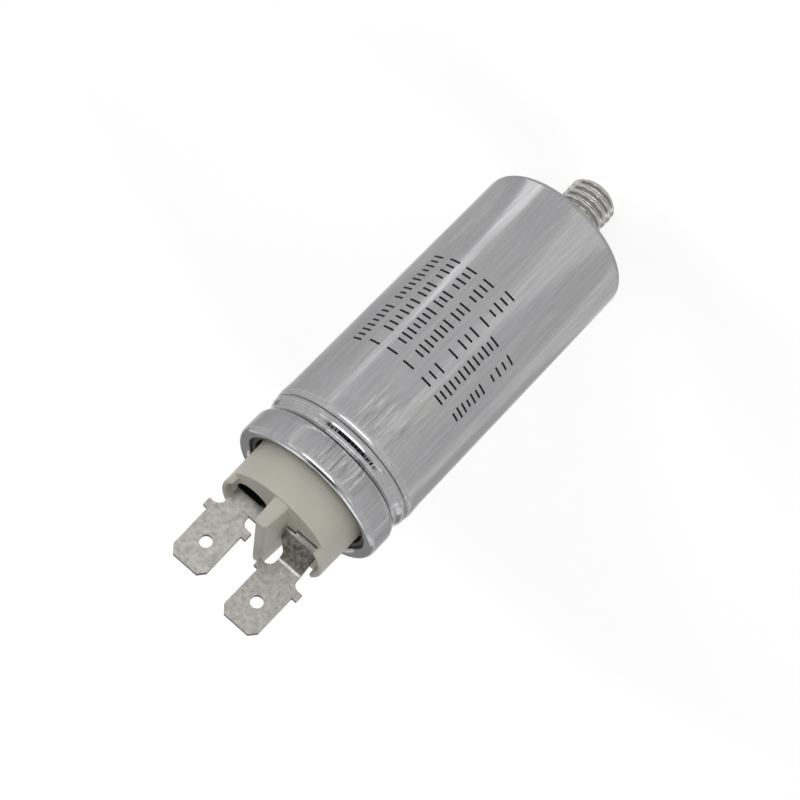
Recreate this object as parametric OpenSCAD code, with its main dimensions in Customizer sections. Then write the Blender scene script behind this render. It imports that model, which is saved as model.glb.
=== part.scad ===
/* [Can] */
// Outside diameter of the can's body
can_d = 25; // [25:0.5:40]
// Height of the can from its seat to the top of the rim
can_h = 57; // [46:0.5:110]
// Thickness of the drawn wall
can_wall = 0.5; // [0.4:0.05:0.8]
// Thickness of the can's base
base_t = 1.2; // [1:0.1:2.5]
// Outside corner radius between base and wall
base_corner = 1.4; // [0.8:0.1:2]

/* [Stud] */
// Diameter over the stud's thread
stud_d = 7.9; // [5.9:0.1:12]
// Length of the stud below the seat
stud_l = 10; // [8:0.5:16]
// Chamfer at the stud's tip
stud_chamfer = 0.9; // [0.4:0.1:1.2]

/* [Rolled rim] */
// How far the rim stands out past the can's body
rim_out = 0.1; // [0:0.05:0.4]
// Height of the rim, from the groove's floor to the top
rim_h = 5.6; // [5.2:0.1:8]
// Outside radius of the rim's curled lip
lip_r = 1; // [0.8:0.05:1.2]
// Radius of the rim's shoulder beside the groove
shoulder_r = 2; // [1.6:0.1:2.4]
// Depth of the bead groove below the can's body
groove_depth = 0.85; // [0.6:0.05:1.1]
// Width of the groove's floor
groove_w = 0.35; // [0.2:0.05:0.8]
// Height of the ring between the groove and the body's step
ring_h = 2.3; // [2:0.1:4]
// Corner radius of that ring beside the groove
ring_corner = 1.1; // [0.9:0.1:1.4]
// How far the ring lies inside the body
step_in = 0.08; // [0.05:0.01:0.2]

/* [Terminal deck] */
// How far the neck lies inside the rim
neck_in = 3.1; // [2.9:0.1:3.3]
// How much less the neck's radius is at its top than at its foot
neck_draft = 0.15; // [0:0.05:0.4]
// Height of the deck's top above the rim
neck_h = 5.3; // [4:0.1:12]
// Thickness of the deck's top plate
plate_t = 3; // [2.6:0.1:4]
// Reach of the deck's top from the axis to the step at its back
back_reach = 6.1; // [6:0.1:7]
// Height of the step at the deck's back
back_step = 1.6; // [1:0.1:2]
// Thickness of the neck's wall
neck_wall = 1.2; // [1:0.1:1.3]
// Thickness of the flange under the seal
flange_t = 1.4; // [1:0.1:1.8]
// Height of the plug below the groove's floor
plug_h = 1.6; // [1:0.1:3]
// Radius of the fillet where the neck meets the flange
neck_fillet = 0.4; // [0.2:0.1:0.6]

/* [Ears and partition] */
// Height of the side ears above the deck
ear_h = 1.5; // [1:0.1:2.4]
// Thickness of the side ears
ear_t = 0.8; // [0.6:0.1:1.5]
// Half of the angle that an ear covers
ear_half = 30; // [20:1:50]
// Height of the partition above the deck
partition_h = 4.55; // [3:0.05:9]
// Thickness of the partition at its top
partition_t = 1.9; // [1.4:0.1:2.4]
// Thickness of the partition at its foot
partition_foot = 2.6; // [2:0.1:3]
// Reach of the partition from the axis to the front
partition_front = 8.9; // [7:0.1:9.1]
// Reach of the partition from the axis to the back
partition_back = 5.9; // [4:0.1:6]
// Offset of the partition towards the left terminal
partition_off = 0.3; // [0:0.05:0.6]
// Radius of the partition's upright corners
partition_corner = 0.7; // [0.3:0.1:0.7]
// Chamfer of the partition's top edges
partition_edge = 0.4; // [0.2:0.1:0.5]

/* [Terminals] */
// Distance from the axis to the middle of a terminal
terminal_x = 5.5; // [5.2:0.1:5.8]
// Width of a blade
blade_w = 6.3; // [4.8:0.1:6.3]
// Thickness of the sheet
blade_t = 0.8; // [0.5:0.1:0.8]
// Length of a blade from its shoulder to its tip
blade_l = 7.95; // [6:0.05:10]
// Diameter of the hole in a blade
hole_d = 1.9; // [1:0.1:2.2]
// Distance from the hole to the blade's tip
hole_from_tip = 4.3; // [3:0.1:5]
// Length of the chamfer at the tip's corners
tip_chamfer_l = 1.1; // [0.5:0.1:1.5]
// Width of the chamfer at the tip's corners
tip_chamfer_w = 0.95; // [0.5:0.05:1.5]
// Width over the shoulders
shoulder_w = 7.9; // [7:0.1:8]
// Height of the shoulders
shoulder_h = 1.3; // [0.8:0.1:1.6]
// Width of the strip below the shoulders
strip_w = 4; // [3.5:0.1:4.6]
// Width of the wing beside the strip, which stands on the deck
wing_w = 1.6; // [1:0.1:1.8]
// Height of the wing
wing_h = 2.1; // [1:0.1:2.2]
// Radius of the hollows between shoulders and strip
hollow_r = 1.2; // [0.8:0.1:1.5]
// Radius of the bends, measured at the middle of the sheet
bend_r = 0.6; // [0.5:0.1:1]
// Length of the strip below the deck's plate
tail_l = 4.2; // [3:0.1:6]
// Place of the right tail's middle plane, less than 0 is towards the front
right_y = -0.15; // [-0.6:0.05:0.3]
// Place of the left tail's middle plane, less than 0 is towards the front
left_y = -2.6; // [-2.8:0.05:-2]
// Height of the right shoulder's outer edge above the deck
right_rise = 5; // [4.5:0.1:8]
// Lean of the right terminal away from the front
right_lean = 5.5; // [0.5:0.5:12]
// Height of the left shoulder's outer edge above the deck
left_rise = 6.6; // [6:0.1:9]
// Set back of the left blade against its tail
left_joggle = 3.7; // [3:0.1:4.2]
// Part of that set back which is made in the low ledge
left_ledge = 0.85; // [0.7:0.05:1]
// Height of the ledge
left_ledge_h = 0.5; // [0.4:0.05:0.65]
// Depth of the bend below the ledge under the deck's top
left_sink = 0.3; // [0.2:0.05:0.4]
// Height of the left strip's last bend above the deck
left_bend_h = 3.45; // [3:0.05:3.8]
// Reach of the pocket for the ledge behind the left tail's middle
pocket_l = 1.35; // [1.3:0.05:1.8]
// Depth of that pocket
pocket_h = 0.85; // [0.8:0.05:1.5]
// Radius of the well in front of the right terminal
well_r = 3.1; // [2.4:0.1:3.2]
// How far the well's middle lies towards the axis from the terminal
well_in = 0.95; // [0.6:0.05:1.1]
// How far the well's middle lies in front of the terminal
well_out = 0.7; // [0.3:0.1:0.9]
// Depth of that well
well_depth = 2.4; // [1:0.1:2.5]

/* [Winding] */
// Room for the leads between the roll's upper end and the deck
head_room = 4.6; // [3:0.1:8]
// Outside diameter of the core tube
core_d = 5; // [4.2:0.1:8]
// Wall of the core tube
core_wall = 0.7; // [0.5:0.1:1]
// Thickness of each sprayed metal end
end_t = 0.5; // [0.3:0.1:1]
// Thickness of the insulating sleeve
sleeve_t = 0.35; // [0.2:0.05:0.6]
// Height of the sleeve above the roll's upper end
sleeve_over = 1; // [0:0.5:2]
// Thickness of the insulating disc under the roll
disc_t = 2; // [1.5:0.1:4]
// Width of the lead strips
lead_w = 2; // [1.2:0.1:2.2]
// Thickness of the lead strips
lead_t = 0.3; // [0.2:0.05:0.5]
// Length of a lead's foot on a sprayed end
foot_l = 5; // [3:0.1:6]

/* [Fits] */
// Clearance of moulded and rubber parts in the can
fit = 0.1; // [0.05:0.05:0.2]
// Clearance round the sleeve and the roll
roll_gap = 0.25; // [0.1:0.05:0.4]
// Clearance of a strip in its slot
slot_gap = 0.1; // [0.05:0.05:0.2]
// Further gap in front of the left strip
slot_front = 0.4; // [0:0.05:0.6]

/* [Hidden] */
$fn = 96;
can_r = can_d / 2;
bore_r = can_r - can_wall;
rim_r = can_r + rim_out;
stud_r = stud_d / 2;
ring_r = can_r - step_in;

// Heights of the rolled end, from the rim downwards
lip_z = can_h - lip_r;
groove_z = can_h - rim_h;
groove_r = can_r - groove_depth;
// The shoulder's arc starts where it meets the groove's floor
shoulder_x = rim_r - shoulder_r;
shoulder_z = groove_z + sqrt(pow(shoulder_r, 2) - pow(groove_r - shoulder_x, 2));
ring_x = ring_r - ring_corner;
ring_z = groove_z - groove_w - sqrt(pow(ring_corner, 2) - pow(groove_r - ring_x, 2));
step_z = groove_z - groove_w - ring_h;

// Deck, seated in the rim
throat_r = groove_r - can_wall;
plug_r = throat_r - fit;
flange_r = rim_r - can_wall - fit;
flange_z = shoulder_z + flange_t;
neck_r = rim_r - neck_in;
neck_top_r = neck_r - neck_draft;
deck_z = can_h + neck_h;
plate_z = deck_z - plate_t;
deck_foot_z = groove_z - plug_h;
hollow_d = 2 * (neck_top_r - neck_wall);

// Terminals, their front is -Y
tail_z = plate_z - tail_l;
slot_w = strip_w + 2 * slot_gap;
well_x = terminal_x - well_in;
well_y = right_y - well_out;
wing_reach = strip_w / 2 + wing_w;
// Steps of a bend's arc, and the run of a cutting shape past what it cuts
bend_steps = 6;
over = 1;

// Winding, from the can's base upwards
disc_z = base_t + disc_t;
roll_z = disc_z + end_t;
upper_end_z = deck_foot_z - head_room;
roll_top_z = upper_end_z - end_t;
sleeve_r = bore_r - roll_gap;
sleeve_bore_r = sleeve_r - sleeve_t;
roll_r = sleeve_bore_r - roll_gap;
core_r = core_d / 2;
core_bore_r = core_r - core_wall;
// The leads lie on the backs of the terminals' tails
long_lead_y = right_y + blade_t / 2;
short_lead_y = left_y + blade_t / 2;
cross_z = upper_end_z + (head_room - lead_w) / 2;

// A ring between two radii and two heights
module ring_band(r_in, r_out, z0, z1) {
    rotate_extrude()
        translate([r_in, z0]) square([r_out - r_in, z1 - z0]);
}

// Half section of the can's outside with its stud
module can_outline() {
    polygon([[0, -stud_l], [stud_r - stud_chamfer, -stud_l], [stud_r, stud_chamfer - stud_l],
             [stud_r, base_t], [0, base_t]]);
    square([can_r - base_corner, base_corner]);
    translate([can_r - base_corner, base_corner]) circle(base_corner);
    translate([0, base_corner]) square([can_r, step_z - base_corner]);
    translate([0, step_z]) square([ring_r, ring_z - step_z]);
    translate([ring_x, ring_z]) circle(ring_corner);
    translate([0, ring_z]) square([groove_r, shoulder_z - ring_z]);
    translate([shoulder_x, shoulder_z]) circle(shoulder_r);
    translate([0, shoulder_z]) square([rim_r, lip_z - shoulder_z]);
    translate([rim_r - lip_r, lip_z]) circle(lip_r);
}

// Half section of the room inside the can, one wall in from the outside
module can_room() {
    translate([0, base_t]) square([bore_r, ring_z - base_t]);
    translate([ring_x, ring_z]) circle(ring_corner - can_wall);
    translate([0, ring_z - can_wall]) square([throat_r, shoulder_z - ring_z + can_wall]);
    translate([shoulder_x, shoulder_z]) circle(shoulder_r - can_wall);
    translate([0, shoulder_z]) square([rim_r - can_wall, lip_z - shoulder_z]);
    translate([rim_r - lip_r, lip_z]) circle(lip_r - can_wall);
    translate([0, lip_z]) square([rim_r - 2 * lip_r, can_h]);
}

module can() {
    color("silver")
        rotate_extrude()
            difference() {
                can_outline();
                can_room();
            }
}

// Disc that keeps the roll off the can's base, with a channel for the long lead's foot
module insulating_disc() {
    channel_w = lead_t + 2 * slot_gap;
    channel_h = lead_w / 2 + slot_gap;
    color("ivory")
        difference() {
            translate([0, 0, base_t]) cylinder(r = sleeve_r, h = disc_t);
            translate([-lead_w / 2 - slot_gap, long_lead_y - slot_gap, disc_z - channel_h])
                cube([core_r + foot_l + 2 * slot_gap, channel_w, 2 * channel_h]);
        }
}

module lower_end_contact() {
    color("darkgray") ring_band(core_r, roll_r, disc_z, roll_z);
}

module winding() {
    color("gainsboro") ring_band(core_r, roll_r, roll_z, roll_top_z);
}

module core_tube() {
    color("white") ring_band(core_bore_r, core_r, disc_z, upper_end_z);
}

module upper_end_contact() {
    color("darkgray") ring_band(core_r, roll_r, roll_top_z, upper_end_z);
}

module insulating_sleeve() {
    color("whitesmoke") ring_band(sleeve_bore_r, sleeve_r, disc_z, upper_end_z + sleeve_over);
}

// A flat strip in an upright plane, its back on y
module lead_sheet(y) {
    translate([0, y + lead_t, 0])
        rotate([90, 0, 0])
            linear_extrude(lead_t) children();
}

// Strip from the lower end through the core to the right terminal's tail
module long_lead() {
    half = lead_w / 2;
    color("peru")
        lead_sheet(long_lead_y) {
            translate([-half, disc_z - half]) square([core_r + foot_l, half]);
            translate([-half, disc_z - half]) square([lead_w, cross_z + lead_w - disc_z + half]);
            translate([-half, cross_z]) square([terminal_x + lead_w, lead_w]);
            translate([terminal_x - half, cross_z]) square([lead_w, plate_z - cross_z - lead_w]);
        }
}

// Strip from the upper end to the left terminal's tail
module short_lead() {
    half = lead_w / 2;
    color("peru")
        lead_sheet(short_lead_y) {
            translate([half - terminal_x - foot_l, upper_end_z]) square([foot_l, half]);
            translate([-terminal_x - half, upper_end_z]) square([lead_w, plate_z - upper_end_z - lead_w]);
        }
}

module sealing_ring() {
    color("dimgray") ring_band(neck_r + neck_fillet + fit, flange_r, flange_z, lip_z);
}

// Half section of the deck: plug, flange with a shoulder that fits the rim, and neck
module deck_outline() {
    translate([0, deck_foot_z]) square([plug_r, flange_z - deck_foot_z]);
    difference() {
        translate([shoulder_x, shoulder_z]) circle(shoulder_r - can_wall - fit);
        translate([0, flange_z]) square(2 * rim_r);
    }
    translate([0, shoulder_z]) square([flange_r, flange_t]);
    polygon([[0, flange_z], [neck_r, flange_z], [neck_top_r, deck_z], [0, deck_z]]);
    difference() {
        translate([0, flange_z]) square([neck_r + neck_fillet, neck_fillet]);
        translate([neck_r + neck_fillet, flange_z + neck_fillet]) circle(neck_fillet);
    }
}

// Side ear: a sector of the neck's wall with a round top
module ear(side) {
    rotate([0, 0, side > 0 ? 0 : 180])
        rotate_extrude(angle = 2 * ear_half, start = -ear_half)
            translate([neck_top_r - ear_t, 0]) {
                translate([0, plate_z]) square([ear_t, plate_t + ear_h - ear_t / 2]);
                translate([ear_t / 2, deck_z + ear_h - ear_t / 2]) circle(ear_t / 2);
            }
}

// Wall between the terminals: tapered in front view, with round corners in plan
module partition() {
    top = partition_h - partition_edge;
    inner = partition_t / 2 - partition_edge;
    front = partition_corner - partition_front;
    back = partition_back - partition_corner;
    corner_x = partition_foot / 2 - partition_corner;
    translate([-partition_off, 0, deck_z])
        intersection() {
            translate([0, 0, -plate_t])
                linear_extrude(plate_t + partition_h) {
                    translate([-corner_x, -partition_front])
                        square([2 * corner_x, partition_front + partition_back]);
                    translate([-partition_foot / 2, front]) square([partition_foot, back - front]);
                    for (x = [-corner_x, corner_x], y = [front, back]) translate([x, y]) circle(partition_corner);
                }
            translate([0, neck_r, 0])
                rotate([90, 0, 0])
                    linear_extrude(2 * neck_r)
                        polygon([[-partition_foot / 2, -plate_t], [partition_foot / 2, -plate_t],
                                 [partition_foot / 2, 0], [partition_t / 2, top], [inner, partition_h],
                                 [-inner, partition_h], [-partition_t / 2, top], [-partition_foot / 2, 0]]);
        }
}

// Slot through the plate for a terminal's strip, with a further gap in front of it
module terminal_slot(x, y, front) {
    slot_t = blade_t + 2 * slot_gap;
    translate([x - slot_w / 2, y - slot_t / 2 - front, tail_z - slot_gap])
        cube([slot_w, slot_t + front, deck_z - tail_z + slot_gap + over]);
}

// Pocket behind the left strip, where its ledge starts
module left_pocket() {
    translate([-terminal_x - slot_w / 2, left_y, deck_z - pocket_h]) cube([slot_w, pocket_l, pocket_h + over]);
}

// Round well in the plate, in front of the right terminal
module right_well() {
    intersection() {
        translate([well_x, well_y, deck_z - well_depth]) cylinder(r = well_r, h = well_depth + over);
        translate([well_x - well_r, well_y - well_r, deck_z - well_depth])
            cube([2 * well_r, right_y - well_y + well_r, well_depth + over]);
    }
}

module terminal_deck() {
    color("tan")
        difference() {
            union() {
                difference() {
                    rotate_extrude() deck_outline();
                    translate([0, 0, deck_foot_z - over])
                        cylinder(d = hollow_d, h = plate_z - deck_foot_z + over);
                }
                ear(1);
                ear(-1);
                partition();
            }
            terminal_slot(terminal_x, right_y, 0);
            terminal_slot(-terminal_x, left_y, slot_front);
            left_pocket();
            right_well();
            translate([-neck_r, back_reach, deck_z - back_step]) cube([2 * neck_r, neck_r, back_step + over]);
        }
}

// Points of an arc about a corner, for a path that turns from heading a to heading b (0 is upwards)
function bend(p, a, b, r) =
    let (s = b > a ? 1 : -1, t = r * tan(abs(b - a) / 2),
         start = [p[0] - t * sin(a), p[1] - t * cos(a)],
         c = [start[0] + s * r * cos(a), start[1] - s * r * sin(a)])
    [for (i = [0 : bend_steps])
        let (h = a + (b - a) * i / bend_steps) [c[0] - s * r * cos(h), c[1] + s * r * sin(h)]];

// Points of a path moved sideways, square to the headings at its ends and middle
function shifted(path, d) =
    [for (i = [0 : len(path) - 1])
        let (p = path[max(i - 1, 0)], q = path[min(i + 1, len(path) - 1)], v = (q - p) / norm(q - p))
        path[i] + d * [v[1], -v[0]]];

// Front view of a terminal, with v = 0 at the shoulder's outer edge and the wing on the axis side
module terminal_face(rise, inward) {
    foot = tail_z - deck_z - rise;
    arc_y = -shoulder_h - hollow_r;
    root_w = min(strip_w + 2 * hollow_r, shoulder_w);
    difference() {
        union() {
            polygon([[-blade_w / 2, 0], [blade_w / 2, 0], [blade_w / 2, blade_l - tip_chamfer_l],
                     [blade_w / 2 - tip_chamfer_w, blade_l], [tip_chamfer_w - blade_w / 2, blade_l],
                     [-blade_w / 2, blade_l - tip_chamfer_l]]);
            translate([-shoulder_w / 2, -shoulder_h]) square([shoulder_w, shoulder_h]);
            translate([-strip_w / 2, foot]) square([strip_w, -foot]);
            translate([-root_w / 2, arc_y]) square([root_w, hollow_r]);
        }
        translate([0, blade_l - hole_from_tip]) circle(d = hole_d);
        for (s = [-1, 1]) translate([s * (strip_w / 2 + hollow_r), arc_y]) circle(hollow_r);
    }
    translate([inward > 0 ? 0 : -wing_reach, -rise]) square([wing_reach, wing_h]);
}

// A bent terminal: its side view swept across, trimmed to its front view
module bent_terminal(x, path, rise) {
    front = shifted(path, -blade_t / 2);
    back = shifted(path, blade_t / 2);
    color("lightgray")
        intersection() {
            translate([x - shoulder_w, 0, 0])
                rotate([90, 0, 90])
                    linear_extrude(2 * shoulder_w)
                        polygon(concat(back, [for (i = [len(front) - 1 : -1 : 0]) front[i]]));
            translate([x, neck_r, deck_z + rise])
                rotate([90, 0, 0])
                    linear_extrude(2 * neck_r) terminal_face(rise, -x);
        }
}

// The right terminal leans back from the deck's top
module terminal_right() {
    rise = right_rise + blade_l + over;
    top_y = right_y + rise * sin(right_lean);
    path = concat([[right_y, tail_z - over]], bend([right_y, deck_z], 0, right_lean, bend_r),
                  [[top_y, deck_z + rise * cos(right_lean)]]);
    bent_terminal(terminal_x, path, right_rise);
}

// The left terminal steps back from the deck and stands upright again
module terminal_left() {
    low = [left_y, deck_z - left_sink];
    ledge = low + [left_ledge, left_ledge_h];
    high = [left_y + left_joggle, deck_z + left_bend_h];
    ledge_lean = atan2(ledge[0] - low[0], ledge[1] - low[1]);
    strip_lean = atan2(high[0] - ledge[0], high[1] - ledge[1]);
    path = concat([[left_y, tail_z - over]], bend(low, 0, ledge_lean, bend_r),
                  bend(ledge, ledge_lean, strip_lean, bend_r), bend(high, strip_lean, 0, bend_r),
                  [[high[0], deck_z + left_rise + blade_l + over]]);
    bent_terminal(-terminal_x, path, left_rise);
}

can();
insulating_disc();
lower_end_contact();
winding();
core_tube();
upper_end_contact();
insulating_sleeve();
long_lead();
short_lead();
sealing_ring();
terminal_deck();
terminal_right();
terminal_left();
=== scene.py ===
import math

import bmesh
import bpy
from mathutils import Matrix, Vector


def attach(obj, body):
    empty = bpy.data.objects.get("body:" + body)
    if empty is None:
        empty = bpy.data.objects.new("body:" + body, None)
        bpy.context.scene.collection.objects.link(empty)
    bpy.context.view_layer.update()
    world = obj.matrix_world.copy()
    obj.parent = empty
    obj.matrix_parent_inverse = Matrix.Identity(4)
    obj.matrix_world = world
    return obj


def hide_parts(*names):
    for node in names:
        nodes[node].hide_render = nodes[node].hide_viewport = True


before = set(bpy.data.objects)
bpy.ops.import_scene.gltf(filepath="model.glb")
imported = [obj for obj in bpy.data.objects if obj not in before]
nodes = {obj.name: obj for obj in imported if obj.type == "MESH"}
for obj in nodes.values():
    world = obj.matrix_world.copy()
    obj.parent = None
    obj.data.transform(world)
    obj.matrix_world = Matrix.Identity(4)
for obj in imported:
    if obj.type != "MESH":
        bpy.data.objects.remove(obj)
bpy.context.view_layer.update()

# Sizes of the object are in millimetres from the seat of the stud, angles in degrees
MM = 0.001
TINY = 0.0001
SEGMENTS = 256
SHARP_ANGLE = 40
CAN_SHARP_ANGLE = 35

# Can, from the base up: body, flare, leaning edge, step with its notch, ring, land, groove, shoulder, lip
CAN_R = 12.5
BASE_CORNER = 1.4
FLARE_R = 12.6
FLARE_Z = 45.8
EDGE_Z = 48.19
EDGE_CORNER = 1.3
EDGE_TILT = 28
STEP_Z = 49.2
STEP_ROUND = 0.05
NOTCH = 0.16
RING_R = 12.42
RING_Z = 49.7
RING_CORNER = 1.2
RING_TILT = 32
LAND_R = 11.84
LAND_Z = 50.74
LAND_TOP = 51.15
LAND_CORNER = 0.3
LAND_TURN = 60
GROOVE_R = 11.65
GROOVE_Z = 51.5
SHOULDER_R = 2.0
RIM_R = 12.6
LIP_R = 1.0
LIP_Z = 56.0

# Inside of the can: its wall, base and throat, the middle of the shoulder's arc and the ease below the throat
WALL = 0.5
BASE_T = 1.2
THROAT_R = 11.15
THROAT_Z = 50.6
INNER_SHOULDER_Z = 53.1
INNER_END_R = 0.6
EASE_R = 0.25
EASE_Z = 0.5

# Stud: a right-hand thread with flattened crests, which runs out at the seat and is rounded at the tip
STUD_R = 3.93
STUD_ROOT_R = 3.38
STUD_L = 10.0
STUD_ROWS = 120
PITCH = 1.25
CREST_GAIN = 1.25
RUN_OUT_L = 0.8
RUN_OUT_SHARE = 0.85
STUD_TIP_L = 1.1
STUD_TIP_DROP = 1.045
STUD_TIP_POWER = 1.5

# Deck: its top, the radius of its neck, and the wall round what lies below the top
DECK_Z = 62.3
NECK_R = 9.35
NECK_WALL = 0.8

# Left terminal, side view: corners (y, z) of the sheet's middle, and the radii of its bends
LEFT_X = -5.5
LEFT_CORNERS = [(-2.6, 55.1), (-2.6, 62.0), (-1.75, 62.5), (1.1, 65.75), (1.1, 76.85)]
LEFT_BENDS = [0.6, 1.2, 1.4]
SHEET_T = 0.8

# Left terminal, front view: heights are counted from the blade's foot, which is BLADE_RISE above the deck,
# and the wing's from the deck
BLADE_RISE = 6.6
BLADE_HALF = 3.15
BLADE_L = 7.95
BLADE_TIP_L = 1.1
BLADE_TIP_W = 0.95
BLADE_SHOULDER_HALF = 3.95
BLADE_SHOULDER_H = 1.3
HOLLOW_R = 1.2
HOLE_V = 3.65
HOLE_R = 0.95
STRIP_HALF = 2.0
WING_W = 1.6
WING_H = 2.7
WING_CURVE = 1.7

# Left terminal, grid: columns in each half, spacing of rows, rows in a bend, steps of angle on round edges,
# and half the height of a sharp step in the width
LEFT_COLUMNS = 6
ROW_SPACING = 0.15
BEND_ROWS = 12
HOLLOW_STEP = 9
HOLE_STEP = 7.5
WIDTH_STEP = 0.005

# Plain marks on the can: angle from the front, then the ends of each row of ticks along the axis
TICK_W = 0.34
TICK_PITCH = 0.95
TICK_H = [1.9, 1.5, 1.8, 1.3, 1.7]
TICK_COLUMNS = 4
MARK_LIFT = 0.012
MARK_SINK = 0.01
MARKS = [
    (-48.5, [(24.2, 28.4), (30.4, 36.6)]),
    (-31.0, [(24.6, 37.2)]),
    (-17.0, [(18.2, 22.3), (23.8, 24.6), (26.0, 29.0), (30.6, 31.9), (33.6, 36.8)]),
    (-1.4, [(19.0, 22.8), (24.2, 26.6), (27.8, 34.4), (36.4, 37.4)]),
    (13.0, [(19.0, 22.8), (24.2, 26.6), (27.8, 34.4), (36.2, 37.3)]),
    (27.4, [(18.9, 22.7), (24.1, 26.5), (27.7, 33.8), (36.4, 37.5)]),
    (41.7, [(19.2, 28.4), (30.0, 37.3)]),
]

# Range that most of a noise lies in
NOISE_RANGE = (0.3, 0.7)

# Looks of the can: shares of the drawing lines and of the rim's shade, roughness, strengths of the bump
LINE_SHARE = 0.7
RIM_SHARE = 0.13
LINE_ROUGH = (0.12, 0.26)
MOTTLE_ROUGH = (-0.02, 0.04)
ROLLED_ROUGH = 0.6
BODY_BUMP = 0.16
EDGE_BUMP = 0.06
RIM_BUMP = 0.4

# Painted reflections in the creases by the rolled end and painted dark reflections in the scores on the ring:
# heights, the share that shows on the body, and bearings as first, last and how far they fade
CREASE_FROM = 38.0
CREASE_FULL = 44.0
CREASE_BODY_SHARE = 0.6
CREASE_BEARINGS = (-30.0, -2.0, 8.0)
SCORE_H = 0.36
SCORE_BEARINGS = (-30.0, 9.0, 6.0)

# Looks of the deck and the terminals: ranges of roughness, the deck's front part whose well and slots are
# painted in shade, and the heights above the deck of the left strip's part that is painted darker as dark
# reflection
DECK_ROUGH = (0.42, 0.55)
TIN_ROUGH = (0.24, 0.4)
WELL_BACK = 2.0
BENT_SHADE_FROM = 0.9
BENT_SHADE_TO = 2.9

# Colours of the can
CAN_COOL = (0.342, 0.336, 0.354, 1)
CAN_WARM = (0.376, 0.376, 0.364, 1)
CAN_LINES = (0.25, 0.25, 0.26, 1)
CAN_MIRROR = (0.65, 0.65, 0.65, 1)
# Painted dark reflection and painted highlight in the creases
CREASE_DARK_REFLECTION = (0.17, 0.17, 0.17, 1)
CREASE_HIGHLIGHT = (0.56, 0.56, 0.54, 1)
RIM_SHADE = (0.05, 0.05, 0.05, 1)
RING_DULL = (0.29, 0.29, 0.29, 1)
# Painted dark reflection in the scores on the ring's corner
SCORE_DARK_REFLECTION = (0.008, 0.008, 0.008, 1)
STUD_WARM = (0.44, 0.433, 0.416, 1)

# Colours of the other pieces that are seen, dark and light
DECK_COLOURS = (0.66, 0.64, 0.55, 1), (0.71, 0.69, 0.595, 1)
# Painted shade in the deck's well and slots
WELL_SHADE = (0.012, 0.011, 0.01, 1)
TIN_COLOURS = (0.205, 0.199, 0.185, 1), (0.345, 0.337, 0.312, 1)
# Painted dark reflection on the left terminal's bent strip
BENT_SHADE_COLOURS = (0.1, 0.095, 0.075, 1), (0.3, 0.29, 0.255, 1)
TIN_EDGE = (0.05, 0.048, 0.045, 1)
# Painted shade on the terminals below the deck's top
TIN_BELOW_SHADE = (0.02, 0.02, 0.019, 1)
RUBBER_COLOURS = (0.012, 0.012, 0.012, 1), (0.04, 0.04, 0.04, 1)
INK_COLOURS = (0.004, 0.004, 0.005, 1), (0.02, 0.02, 0.022, 1)
FLOOR_COLOURS = (0.9, 0.9, 0.9, 1), (0.92, 0.92, 0.92, 1)
WHITE = (1, 1, 1, 1)

# Inner pieces: material, dark and light colour, metallic, roughness, scale of its noise, and the nodes
INNER = [
    ("inner_plastic", (0.6, 0.57, 0.5, 1), (0.7, 0.67, 0.6, 1), 0.0, 0.5, 300.0,
     ["insulating_disc", "core_tube", "insulating_sleeve"]),
    ("metallised_film", (0.5, 0.5, 0.53, 1), (0.62, 0.62, 0.66, 1), 0.6, 0.25, 200.0, ["winding"]),
    ("sprayed_metal", (0.3, 0.3, 0.3, 1), (0.5, 0.5, 0.5, 1), 1.0, 0.6, 900.0,
     ["lower_end_contact", "upper_end_contact"]),
    ("lead_brass", (0.5, 0.38, 0.18, 1), (0.62, 0.5, 0.28, 1), 1.0, 0.35, 500.0, ["long_lead", "short_lead"]),
]

# Stage, in metres. The lift is brightness that the floor gains where it is seen or mirrored, so that it is
# white: one value near the object and one far off
FLOOR_GAP = 0.0003
FLOOR_Z = -STUD_L * MM - FLOOR_GAP
FLOOR_SIZE = 6
FLOOR_LIFT = 0.62
FLOOR_LIFT_FAR = 1.1
FLOOR_NEAR = 0.15
FLOOR_FAR = 0.6
WORLD_LEVEL = 0.15
MIDDLE = Vector((0, 0, 0.035))

# Soft boxes: azimuth from the front and elevation, width, height and power. The cards show only as mirrored
# by what is glossy, and the fills light only what is matt
BOX_AWAY = 0.6
BOXES = [
    ("fill_left", -95, 34, 0.6, 0.6, 0.58),
    ("fill_right", 75, 35, 0.6, 0.6, 0.66),
    ("fill_front", -4, 20, 0.5, 0.36, 0.95),
    ("card_left", -105, 38, 1.1, 0.9, 3.0),
    ("card_right", 90, 38, 1.1, 0.9, 3.0),
    ("card_front", 0, 27, 0.56, 0.34, 1.9),
    ("card_front_left", -46, 18, 0.36, 0.4, 0.45),
    ("card_front_right", 38, 18, 0.26, 0.4, 0.33),
    ("card_top", 180, 72, 0.6, 0.5, 1.2),
    ("card_back", 180, 16, 1.4, 0.6, 1.3),
    ("front", -4, 4, 0.6, 0.2, 0.25),
]

# Strips of light that lie on the floor and show as soft lines on the can: azimuth, width and power
GLOW_FROM = 0.02
GLOW_TO = 0.3
GLOW_LIFT = 0.0004
GLOWS = [
    ("strip_right", 50, 0.012, 0.0099),
    ("strip_front", -31, 0.03, 0.0073),
    ("strip_left", -124, 0.04, 0.0115),
    ("strip_edge", 140, 0.09, 0.014),
]

# Camera that was fitted to the photo: lens and sensor, its place in millimetres and its axes
LENS = 91.3
SENSOR = 36.0
CAMERA_PLACE = (-56.76, -265.77, 142.43)
CAMERA_RIGHT = (-0.75282, -0.09947, -0.65066)
CAMERA_UP = (0.62908, -0.39962, -0.66676)
CAMERA_BACK = (-0.1937, -0.91127, 0.36341)


def clamp(t):
    return min(1.0, max(0.0, t))


def smooth(t):
    """Rise from 0 to 1 that starts and ends level."""
    return t * t * (3 - 2 * t)


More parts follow.
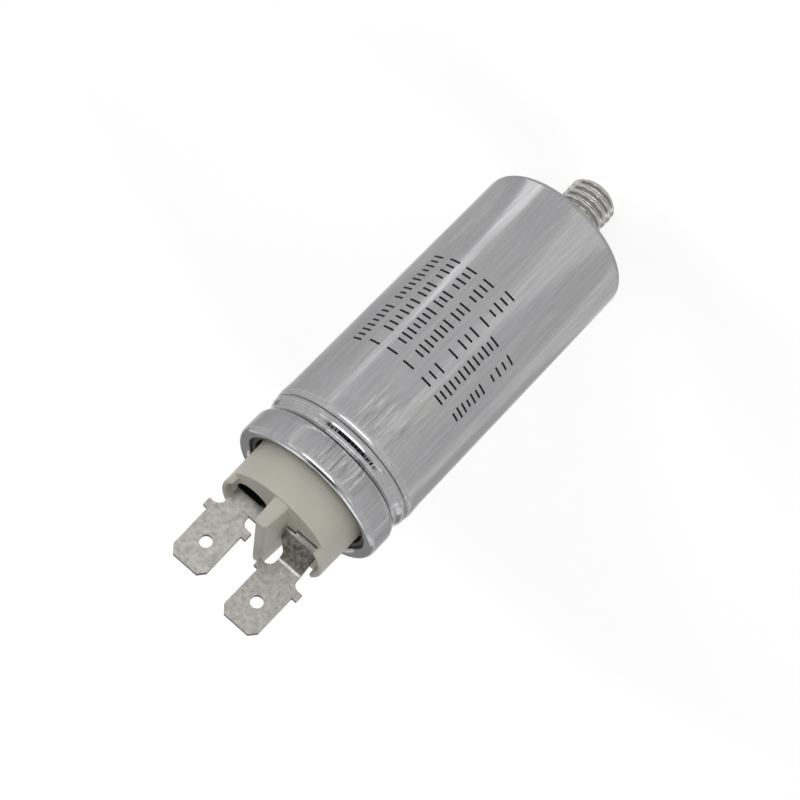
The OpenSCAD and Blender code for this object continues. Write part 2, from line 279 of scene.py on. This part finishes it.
def arc(cx, cz, r, a0, a1, steps):
    """Points (r, z) of an arc, angles from +r towards +z."""
    points = []
    for i in range(steps + 1):
        a = math.radians(a0 + (a1 - a0) * i / steps)
        points.append((cx + r * math.cos(a), cz + r * math.sin(a)))
    return points


def mesh_object(name, verts, faces, sharp=SHARP_ANGLE):
    """Smooth object from points in millimetres, with edges over the sharp angle kept."""
    mesh = bpy.data.meshes.new(name)
    mesh.from_pydata([Vector(v) * MM for v in verts], [], faces)
    mesh.update()
    mesh.shade_smooth()
    mesh.set_sharp_from_angle(angle=math.radians(sharp))
    obj = bpy.data.objects.new(name, mesh)
    bpy.context.scene.collection.objects.link(obj)
    return obj


def turned(rows, columns, outline):
    """Grid of points round the axis, where outline(i, a) gives (r, z) of row i at the angle a in radians."""
    verts, faces = [], []
    for i in range(rows):
        for j in range(columns):
            a = 2 * math.pi * j / columns
            r, z = outline(i, a)
            verts.append((r * math.cos(a), r * math.sin(a), z))
    for i in range(rows - 1):
        low, high = i * columns, (i + 1) * columns
        for j in range(columns):
            k = (j + 1) % columns
            faces.append((low + j, low + k, high + k, high + j))
    return verts, faces


def can_profile():
    """Points (r, z) up the can's outside, from the base to the end of the lip."""
    points = [(CAN_R - BASE_CORNER, 0.0)]
    points += arc(CAN_R - BASE_CORNER, BASE_CORNER, BASE_CORNER, -90, 0, steps=16)[1:]
    body_rows = 24
    body_h = FLARE_Z - BASE_CORNER
    points += [(CAN_R, BASE_CORNER + body_h * i / body_rows) for i in range(1, body_rows + 1)]
    flare_rows = 10
    for i in range(1, flare_rows + 1):
        t = i / flare_rows
        points.append((CAN_R + (FLARE_R - CAN_R) * smooth(t), FLARE_Z + (EDGE_Z - FLARE_Z) * t))
    # The body's edge leans in and stands upright again up to the step and its notch
    points += arc(FLARE_R - EDGE_CORNER, EDGE_Z, EDGE_CORNER, 0, EDGE_TILT, steps=10)[1:]
    edge_r, edge_z = points[-1]
    points += [(edge_r, edge_z + STEP_ROUND), (edge_r, STEP_Z - STEP_ROUND), (edge_r - STEP_ROUND, STEP_Z)]
    points += [(RING_R - NOTCH, STEP_Z + STEP_ROUND), (RING_R, STEP_Z + STEP_ROUND + NOTCH)]
    # The ring leans in, drops to a narrow land and ends in the groove
    points += arc(RING_R - RING_CORNER, RING_Z, RING_CORNER, 0, RING_TILT, steps=12)
    points += [(LAND_R, LAND_Z), (LAND_R, LAND_Z + STEP_ROUND)]
    points += arc(LAND_R - LAND_CORNER, LAND_TOP, LAND_CORNER, 0, LAND_TURN, steps=8)
    # The shoulder rises from the groove to the rim, and the lip curls in
    groove_in = GROOVE_R - RIM_R + SHOULDER_R
    shoulder_z = GROOVE_Z + math.sqrt(SHOULDER_R ** 2 - groove_in ** 2)
    groove_a = -math.degrees(math.acos(groove_in / SHOULDER_R))
    points += arc(RIM_R - SHOULDER_R, shoulder_z, SHOULDER_R, groove_a, 0, steps=16)
    points += arc(RIM_R - LIP_R, LIP_Z, LIP_R, 0, 180, steps=28)
    return points


def can_inside():
    """Points (r, z) down the can's inside, from the end of the lip."""
    shoulder_x = RIM_R - SHOULDER_R
    inner_r = SHOULDER_R - WALL
    bore_r = CAN_R - WALL
    throat_a = -math.degrees(math.acos((THROAT_R - shoulder_x) / inner_r))
    points = arc(RIM_R - LIP_R, LIP_Z, LIP_R - WALL, 180, 0, steps=14)
    points += arc(shoulder_x, INNER_SHOULDER_Z, inner_r, 0, throat_a, steps=12)
    points += [(THROAT_R, THROAT_Z), (bore_r - EASE_R, THROAT_Z - EASE_Z), (bore_r, THROAT_Z - 2 * EASE_Z)]
    points += [(bore_r, BASE_T), (INNER_END_R, BASE_T)]
    return points


def thread_radius(z, a):
    """Radius of the threaded stud at height z and angle a in radians."""
    depth = STUD_R - STUD_ROOT_R
    wave = 0.5 + 0.5 * math.cos(2 * math.pi * z / PITCH - a)
    r = STUD_ROOT_R + depth * min(1.0, CREST_GAIN * wave)
    plain_r = STUD_R - depth * RUN_OUT_SHARE
    r = plain_r + (r - plain_r) * clamp(-z / RUN_OUT_L)
    from_tip = STUD_L + z
    if from_tip < STUD_TIP_L:
        r = min(r, STUD_R - STUD_TIP_DROP * (1 - from_tip / STUD_TIP_L) ** STUD_TIP_POWER)
    return r


def make_can():
    """Can with its stud, as one closed grid from the stud's tip over the lip to the inside of the base."""
    profile = can_profile() + can_inside()
    rows = STUD_ROWS + len(profile)

    def outline(i, a):
        if i < STUD_ROWS:
            z = STUD_L * (i / (STUD_ROWS - 1) - 1)
            return thread_radius(z, a), z
        return profile[i - STUD_ROWS]

    verts, faces = turned(rows, SEGMENTS, outline)
    last = (rows - 1) * SEGMENTS
    faces += [tuple(reversed(range(SEGMENTS))), tuple(range(last, last + SEGMENTS))]
    obj = mesh_object("can_body", verts, faces, CAN_SHARP_ANGLE)
    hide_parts("can")
    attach(obj, "root")
    return obj


def add_tick(verts, faces, angle, low, height):
    """Add a closed tick: the corners of its section, repeated along its height round the can."""
    outer, inner = CAN_R + MARK_LIFT, CAN_R - MARK_SINK
    corners = [(outer, low), (outer, low + TICK_W), (inner, low + TICK_W), (inner, low)]
    size = len(corners)
    half = height / 2 / CAN_R
    first = len(verts)
    last = first + size * TICK_COLUMNS
    for i in range(TICK_COLUMNS + 1):
        a = math.radians(angle) - half + 2 * half * i / TICK_COLUMNS
        verts.extend((r * math.sin(a), -r * math.cos(a), z) for r, z in corners)
    for start in range(first, last, size):
        for j in range(size):
            p, q = start + j, start + (j + 1) % size
            faces.append((p, p + size, q + size, q))
    faces.append(tuple(range(first, first + size)))
    faces.append(tuple(reversed(range(last, last + size))))


def make_marks():
    verts, faces = [], []
    for angle, spans in MARKS:
        for z0, z1 in spans:
            count = max(1, round((z1 - z0) / TICK_PITCH))
            for n in range(count):
                low = z0 + (z1 - z0 - TICK_W) * n / max(1, count - 1)
                add_tick(verts, faces, angle, low, TICK_H[n % len(TICK_H)])
    obj = mesh_object("print_marks", verts, faces)
    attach(obj, "root")
    return obj


def left_half(v):
    """Half of the left terminal's width at height v."""
    if v > 0:
        return BLADE_HALF - BLADE_TIP_W * max(0.0, v - BLADE_L + BLADE_TIP_L) / BLADE_TIP_L
    if v > -BLADE_SHOULDER_H:
        return BLADE_SHOULDER_HALF
    rise = v + BLADE_SHOULDER_H + HOLLOW_R
    if rise > 0:
        return STRIP_HALF + HOLLOW_R - math.sqrt(max(0.0, HOLLOW_R ** 2 - rise ** 2))
    return STRIP_HALF


def left_wing(v):
    """Width that the wing adds on the axis side at height v."""
    if v < -BLADE_RISE:
        return 0.0
    return WING_W * smooth(clamp((WING_H - BLADE_RISE - v) / WING_CURVE))


def across(lean):
    """Direction (y, z) through the sheet where it leans by that angle in radians."""
    return Vector((math.cos(lean), -math.sin(lean)))


def left_rows():
    """Points (y, z) up the middle of the left terminal's sheet, each with its lean from upright."""
    rows = []
    corners = [Vector(corner) for corner in LEFT_CORNERS]
    ways = [(b - a).normalized() for a, b in zip(corners, corners[1:])]
    leans = [math.atan2(way.x, way.y) for way in ways]
    start = corners[0]
    for corner, way, lean, after, r in zip(corners[1:], ways, leans, leans[1:], LEFT_BENDS):
        turn = after - lean
        end = corner - way * r * math.tan(abs(turn) / 2)
        count = max(2, round((end - start).length / ROW_SPACING))
        rows += [(start + (end - start) * i / count, lean) for i in range(count)]
        side = math.copysign(r, turn)
        centre = end + across(lean) * side
        for i in range(BEND_ROWS):
            a = lean + turn * i / BEND_ROWS
            rows.append((centre - across(a) * side, a))
        start = centre - across(after) * side
    # The upright blade has rows where its width changes
    foot = DECK_Z + BLADE_RISE
    heights = {start.y, foot + BLADE_L - BLADE_TIP_L, foot + BLADE_L}
    for step in (foot - BLADE_SHOULDER_H, foot):
        heights |= {step - WIDTH_STEP, step + WIDTH_STEP}
    for i in range(90 // HOLLOW_STEP):
        drop = HOLLOW_R * (1 - math.sin(math.radians(HOLLOW_STEP * i)))
        heights.add(foot - BLADE_SHOULDER_H - drop - WIDTH_STEP)
    for i in range(round(180 / HOLE_STEP) + 1):
        heights.add(foot + HOLE_V + HOLE_R * math.cos(math.radians(HOLE_STEP * i)))
    rows += [(Vector((start.x, z)), leans[-1]) for z in sorted(heights) if z >= start.y]
    return rows


def make_left_terminal():
    """Left terminal as two halves of sheet, joined at the middle except at the hole."""
    verts, faces = [], []
    rows = left_rows()
    ring = 2 * (LEFT_COLUMNS + 1)
    for side in (-1, 1):
        first = len(verts)
        holes = []
        for point, lean in rows:
            v = point.y - DECK_Z - BLADE_RISE
            hole = math.sqrt(max(0.0, HOLE_R ** 2 - (v - HOLE_V) ** 2))
            holes.append(hole > TINY)
            outer = left_half(v)
            if side > 0:
                outer = max(outer, STRIP_HALF + left_wing(v))
            width = outer - hole
            xs = [LEFT_X + side * (hole + width * i / LEFT_COLUMNS) for i in range(LEFT_COLUMNS + 1)]
            offset = across(lean) * SHEET_T / 2
            front, back = point - offset, point + offset
            verts += [(x, front.x, front.y) for x in xs] + [(x, back.x, back.y) for x in reversed(xs)]
        for i in range(len(rows) - 1):
            for j in range(ring):
                # The wall at the middle is left out, save in the hole
                if j == ring - 1 and not (holes[i] or holes[i + 1]):
                    continue
                a, b = first + i * ring + j, first + i * ring + (j + 1) % ring
                faces.append((a, b, b + ring, a + ring)[::side])
        last = first + (len(rows) - 1) * ring
        faces += [tuple(range(first, first + ring))[::-side], tuple(range(last, last + ring))[::side]]
    obj = mesh_object("left_terminal", verts, faces)
    sheet = bmesh.new()
    sheet.from_mesh(obj.data)
    bmesh.ops.remove_doubles(sheet, verts=sheet.verts, dist=TINY * MM)
    bmesh.ops.recalc_face_normals(sheet, faces=sheet.faces)
    sheet.to_mesh(obj.data)
    sheet.free()
    obj.data.set_sharp_from_angle(angle=math.radians(SHARP_ANGLE))
    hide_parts("terminal_left")
    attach(obj, "root")
    return obj


class Graph:
    """A node material, with short calls for its nodes."""

    def __init__(self, name):
        self.material = bpy.data.materials.new(name)
        self.material.use_nodes = True
        self.tree = self.material.node_tree
        self.bsdf = self.tree.nodes["Principled BSDF"]
        self.object = self.add("ShaderNodeTexCoord").outputs["Object"]

    def add(self, kind, inputs=None, **settings):
        node = self.tree.nodes.new(kind)
        for key, value in settings.items():
            setattr(node, key, value)
        for key, value in (inputs or {}).items():
            self.put(node.inputs[key], value)
        return node

    def put(self, socket, value):
        if isinstance(value, bpy.types.NodeSocket):
            self.tree.links.new(value, socket)
        else:
            socket.default_value = value

    def math(self, operation, a, b=0.0):
        return self.add("ShaderNodeMath", {0: a, 1: b}, operation=operation).outputs[0]

    def times(self, a, b):
        return self.math("MULTIPLY", a, b)

    def plus(self, a, b):
        return self.math("ADD", a, b)

    def ramp(self, value, low, high, to_low=0.0, to_high=1.0):
        """Values from low to high brought to the range from to_low to to_high, and held at its ends."""
        inputs = {"Value": value, "From Min": low, "From Max": high, "To Min": to_low, "To Max": to_high}
        return self.add("ShaderNodeMapRange", inputs).outputs["Result"]

    def fall(self, value, low, high):
        """1 up to low, falling to 0 at high."""
        return self.ramp(value, low, high, 1.0, 0.0)

    def band(self, value, low, high, soft):
        """1 between low and high, fading to 0 over soft on both sides."""
        return self.times(self.ramp(value, low - soft, low), self.fall(value, high, high + soft))

    def noise(self, vector, scale, detail=3.0, rough=0.5):
        inputs = {"Vector": vector, "Scale": scale, "Detail": detail, "Roughness": rough}
        return self.add("ShaderNodeTexNoise", inputs).outputs["Fac"]

    def mix(self, factor, a, b):
        node = self.add("ShaderNodeMix", data_type="RGBA")
        self.put(node.inputs[0], factor)
        self.put(node.inputs[6], a)
        self.put(node.inputs[7], b)
        return node.outputs[2]

    def shade(self, **inputs):
        for key, value in inputs.items():
            self.put(self.bsdf.inputs[key.replace("_", " ")], value)

    def bump(self, height, strength, distance, radius=None):
        """Bump of the surface, with edges rounded if a radius is given; distance and radius in metres."""
        node = self.add("ShaderNodeBump", {"Height": height, "Strength": strength, "Distance": distance})
        if radius is not None:
            bevel = self.add("ShaderNodeBevel", {"Radius": radius}, samples=8)
            self.put(node.inputs["Normal"], bevel.outputs[0])
        self.put(self.bsdf.inputs["Normal"], node.outputs[0])

    def place(self):
        """Object coordinates x, y and z in millimetres."""
        parts = self.add("ShaderNodeSeparateXYZ", {0: self.object})
        return [self.math("DIVIDE", parts.outputs[i], MM) for i in range(3)]

    def bearing(self):
        """Angle round the axis from the front, in radians."""
        x, y = self.place()[:2]
        return self.math("ARCTAN2", x, self.times(y, -1.0))

    def round_space(self, along):
        """Coordinates unrolled round the axis: millimetres round the can, and up it times along."""
        unrolled = {0: self.times(self.bearing(), CAN_R), 1: self.times(self.place()[2], along)}
        return self.add("ShaderNodeCombineXYZ", unrolled).outputs[0]


def with_crease_reflections(g, colour, height, bearing):
    """Coarse creases near the rolled end, on the body and on the rim, with dark and bright streaks painted in
    as reflections at the front bearings.
    """
    coarse = g.noise(g.round_space(along=0.1), scale=1.9, detail=5.0, rough=0.65)
    on_body = g.times(g.ramp(height, CREASE_FROM, CREASE_FULL, to_high=CREASE_BODY_SHARE),
                      g.fall(height, EDGE_Z - 0.2, EDGE_Z))
    on_rim = g.band(height, GROOVE_Z + 0.3, LIP_Z - 0.3, soft=0.2)
    crease_reflection_mask = g.times(g.plus(on_body, on_rim), g.band(bearing, *CREASE_BEARINGS))
    colour = g.mix(g.times(crease_reflection_mask, g.ramp(coarse, 0.5, 0.62, to_high=0.8)), colour, CREASE_DARK_REFLECTION)
    return g.mix(g.times(crease_reflection_mask, g.ramp(coarse, 0.34, 0.46, 0.9, 0.0)), colour, CREASE_HIGHLIGHT)


def with_score_reflections(g, colour, height, bearing, waves):
    """A dull ring, with dark streaks across its corner painted in as the dark reflection that the corner
    shows at the front bearings.
    """
    scores = g.noise(g.round_space(along=0.0), scale=3.4, detail=2.0, rough=0.7)
    colour = g.mix(g.band(height, STEP_Z + 0.25, RING_Z + 0.1, soft=0.1), colour, RING_DULL)
    ragged = g.plus(height, g.ramp(waves, *NOISE_RANGE, -0.08, 0.08))
    across_corner = g.band(ragged, LAND_Z - SCORE_H, LAND_Z, soft=0.06)
    # The scores are painted near black as dark reflection at the front bearings
    score_reflection_mask = g.times(across_corner, g.band(bearing, *SCORE_BEARINGS))
    return g.mix(g.times(score_reflection_mask, g.fall(scores, 0.5, 0.55)), colour, SCORE_DARK_REFLECTION)


def can_material():
    g = Graph("can_aluminium")
    height = g.place()[2]
    bearing = g.math("DEGREES", g.bearing())
    lines = g.noise(g.round_space(along=0.05), scale=2.2, detail=4.0, rough=0.6)
    broad = g.noise(g.round_space(along=0.12), scale=0.35, detail=2.0)
    waves = g.noise(g.round_space(along=0.14), scale=0.9, detail=4.0, rough=0.6)
    mottle = g.noise(g.object, scale=260.0, rough=0.6)
    # Fine drawing lines on a tint that changes slowly
    tint = g.mix(g.ramp(broad, *NOISE_RANGE), CAN_COOL, CAN_WARM)
    colour = g.mix(g.ramp(lines, *NOISE_RANGE, to_high=LINE_SHARE), tint, CAN_LINES)
    colour = with_crease_reflections(g, colour, height, bearing)
    # The rim is a little darker than the body, and the stud is brighter and a little warmer
    on_rim = g.band(height, GROOVE_Z + 0.5, LIP_Z, soft=0.3)
    colour = g.mix(on_rim, colour, g.mix(RIM_SHARE, colour, RIM_SHADE))
    colour = g.mix(g.fall(height, -0.3, 0.0), colour, STUD_WARM)
    colour = with_score_reflections(g, colour, height, bearing, waves)
    # The rolled end is smoother than the body, and its rim has the strongest bump
    rough = g.plus(g.ramp(lines, 0.25, 0.75, *LINE_ROUGH), g.ramp(mottle, *NOISE_RANGE, *MOTTLE_ROUGH))
    rough = g.times(rough, g.ramp(height, STEP_Z, STEP_Z + 1.0, 1.0, ROLLED_ROUGH))
    g.shade(Base_Color=colour, Metallic=1.0, Roughness=rough, Specular_Tint=CAN_MIRROR)
    strength = g.ramp(height, EDGE_Z - 0.5, EDGE_Z, BODY_BUMP, EDGE_BUMP)
    strength = g.plus(strength, g.band(height, GROOVE_Z, LIP_Z - 0.5, soft=0.4))
    strength = g.math("MINIMUM", strength, RIM_BUMP)
    g.bump(g.plus(lines, g.times(waves, 2.0)), strength, distance=0.00006)
    return g.material


def deck_material():
    g = Graph("deck_plastic")
    cloud = g.noise(g.object, scale=180.0, detail=2.0)
    fine = g.noise(g.object, scale=2600.0)
    colour = g.mix(g.ramp(cloud, *NOISE_RANGE), *DECK_COLOURS)
    # The well and the slots are painted dark below the deck's top, as painted shade in the deep hollows
    x, y, z = g.place()
    radius = g.math("SQRT", g.plus(g.times(x, x), g.times(y, y)))
    wall_r = NECK_R - NECK_WALL
    inside = g.times(g.fall(radius, wall_r, wall_r + 0.2), g.fall(y, WELL_BACK, WELL_BACK + 1.0))
    below = g.fall(z, DECK_Z - 0.35, DECK_Z - 0.05)
    colour = g.mix(g.times(below, inside), colour, WELL_SHADE)
    rough = g.ramp(fine, *NOISE_RANGE, *DECK_ROUGH)
    g.shade(Base_Color=colour, Roughness=rough, Specular_IOR_Level=0.2)
    g.bump(fine, strength=0.08, distance=0.00003, radius=0.0002)
    return g.material


def terminal_material():
    g = Graph("tinned_terminal")
    cloud = g.noise(g.object, scale=1300.0, detail=5.0, rough=0.75)
    fine = g.noise(g.object, scale=3500.0, detail=4.0, rough=0.65)
    colour = g.mix(g.ramp(cloud, 0.35, 0.65), *TIN_COLOURS)
    # The bent strip of the left terminal is painted darker and brownish, as painted dark reflection
    x, _, z = g.place()
    bent_shade_mask = g.times(g.fall(x, -0.5, 0.5), g.band(z, DECK_Z + BENT_SHADE_FROM, DECK_Z + BENT_SHADE_TO, soft=0.4))
    colour = g.mix(bent_shade_mask, colour, g.mix(g.ramp(cloud, 0.4, 0.62), *BENT_SHADE_COLOURS))
    # The cut edges are darker than the faces, and the strips are painted dark below the deck's top as painted
    # shade in the well
    normal = g.add("ShaderNodeNewGeometry").outputs["True Normal"]
    facing = g.math("ABSOLUTE", g.add("ShaderNodeSeparateXYZ", {0: normal}).outputs["Y"])
    colour = g.mix(g.ramp(facing, 0.2, 0.4, 0.9, 0.0), colour, TIN_EDGE)
    colour = g.mix(g.fall(z, DECK_Z - 0.1, DECK_Z), colour, TIN_BELOW_SHADE)
    g.shade(Base_Color=colour, Metallic=1.0, Roughness=g.ramp(fine, *NOISE_RANGE, *TIN_ROUGH))
    g.bump(cloud, strength=0.15, distance=0.00003)
    return g.material


def rubber_material():
    g = Graph("seal_rubber")
    fine = g.noise(g.object, scale=2200.0)
    g.shade(Base_Color=g.mix(fine, *RUBBER_COLOURS), Roughness=0.6)
    return g.material


def ink_material():
    g = Graph("ink")
    wear = g.noise(g.object, scale=1500.0, detail=4.0, rough=0.7)
    g.shade(Base_Color=g.mix(wear, *INK_COLOURS), Roughness=0.5, Specular_IOR_Level=0.1)
    return g.material


def inner_material(name, dark, light, metallic, roughness, scale):
    g = Graph(name)
    cloud = g.noise(g.object, scale)
    g.shade(Base_Color=g.mix(cloud, dark, light), Metallic=metallic, Roughness=roughness)
    return g.material


def floor_material():
    g = Graph("floor_white")
    grain = g.noise(g.object, scale=40.0)
    g.shade(Base_Color=g.mix(grain, *FLOOR_COLOURS), Roughness=0.9)
    path = g.add("ShaderNodeLightPath").outputs
    seen = g.math("MAXIMUM", path["Is Camera Ray"], path["Is Glossy Ray"])
    seen = g.math("MAXIMUM", seen, path["Is Transmission Ray"])
    away = g.add("ShaderNodeVectorMath", {0: g.object}, operation="LENGTH").outputs["Value"]
    lift = g.ramp(away, FLOOR_NEAR, FLOOR_FAR, FLOOR_LIFT, FLOOR_LIFT_FAR)
    g.shade(Emission_Color=WHITE, Emission_Strength=g.times(seen, lift))
    return g.material


def paint(obj, material):
    obj.data.materials.clear()
    obj.data.materials.append(material)


def make_floor():
    bpy.ops.mesh.primitive_plane_add(size=FLOOR_SIZE, location=(0, 0, FLOOR_Z))
    floor = bpy.context.object
    floor.name = "floor"
    paint(floor, floor_material())


def make_world():
    world = bpy.data.worlds.new("studio")
    bpy.context.scene.world = world
    world.use_nodes = True
    grey = (WORLD_LEVEL, WORLD_LEVEL, WORLD_LEVEL, 1)
    world.node_tree.nodes["Background"].inputs["Color"].default_value = grey


def around(azimuth, elevation, away):
    """Point at that bearing from the object's middle."""
    a, e = math.radians(azimuth), math.radians(elevation)
    return Vector((math.sin(a) * math.cos(e), -math.cos(a) * math.cos(e), math.sin(e))) * away + MIDDLE


def area_light(name, place, width, height, power):
    """Light that the camera doesn't see."""
    light = bpy.data.lights.new(name, "AREA")
    light.shape = "RECTANGLE"
    light.size = width
    light.size_y = height
    light.energy = power
    obj = bpy.data.objects.new(name, light)
    obj.location = place
    obj.visible_camera = False
    bpy.context.scene.collection.objects.link(obj)
    return obj


def make_lights():
    for name, azimuth, elevation, width, height, power in BOXES:
        place = around(azimuth, elevation, BOX_AWAY)
        box = area_light(name, place, width, height, power)
        box.rotation_euler = (MIDDLE - place).to_track_quat("-Z", "Y").to_euler()
        box.visible_diffuse = not name.startswith("card")
        box.visible_glossy = not name.startswith("fill")
    for name, azimuth, width, power in GLOWS:
        place = around(azimuth, 0, (GLOW_FROM + GLOW_TO) / 2)
        place.z = FLOOR_Z + GLOW_LIFT
        glow = area_light(name, place, width, GLOW_TO - GLOW_FROM, power)
        glow.rotation_euler = (math.pi, 0, math.radians(azimuth))


def make_camera():
    cam = bpy.data.cameras.new("camera")
    cam.lens = LENS
    cam.sensor_width = SENSOR
    obj = bpy.data.objects.new("camera", cam)
    turn = Matrix((CAMERA_RIGHT, CAMERA_UP, CAMERA_BACK)).transposed().to_4x4()
    obj.matrix_world = Matrix.Translation(Vector(CAMERA_PLACE) * MM) @ turn
    bpy.context.scene.collection.objects.link(obj)
    bpy.context.scene.camera = obj
    bpy.context.scene.view_settings.view_transform = "Standard"


paint(make_can(), can_material())
paint(make_marks(), ink_material())
paint(nodes["terminal_deck"], deck_material())
metal = terminal_material()
paint(make_left_terminal(), metal)
paint(nodes["terminal_right"], metal)
paint(nodes["sealing_ring"], rubber_material())
for *look, inner_names in INNER:
    material = inner_material(*look)
    for inner_name in inner_names:
        paint(nodes[inner_name], material)

make_floor()
make_world()
make_lights()
make_camera()
